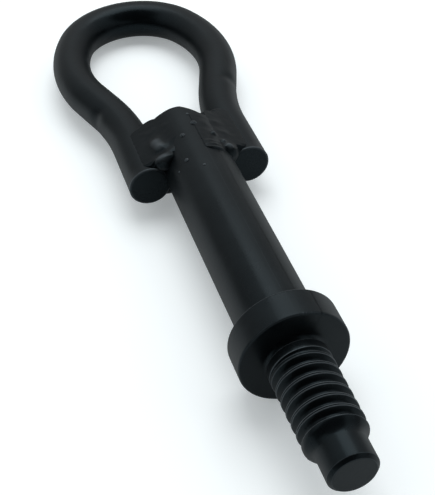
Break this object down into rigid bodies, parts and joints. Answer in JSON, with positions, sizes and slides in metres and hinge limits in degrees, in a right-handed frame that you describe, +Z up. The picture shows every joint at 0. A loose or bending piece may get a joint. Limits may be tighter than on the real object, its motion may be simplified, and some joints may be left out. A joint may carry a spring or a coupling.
{
  "type": "tow eye",
  "caption": "Screw-in towing eye: a round shank with a collar, coarse left-hand thread and pilot, and a bent round-bar eye welded to its sides, all coated satin black.",
  "frame": {"origin": "on the ground, under the middle of the part's bounding box", "axes": "+X across the eye, +Y from the threaded tip towards the eye's crown, +Z up; the part lies as it comes to rest, with the screw's axis 2.3 degrees lower at the eye"},
  "size_m": [0.0584, 0.211, 0.0287],
  "materials": {
    "coated_shank": "satin black coating over turned and thread-rolled steel",
    "coated_eye": "satin black coating over bent round bar",
    "coated_weld": "satin black coating over rippled weld beads"
  },
  "bodies": {
    "root": {"threaded_shank": "coated_shank", "eye_loop": "coated_eye", "weld_front_left": "coated_weld", "weld_front_right": "coated_weld", "weld_back_left": "coated_weld", "weld_back_right": "coated_weld"}
  },
  "joints": []
}
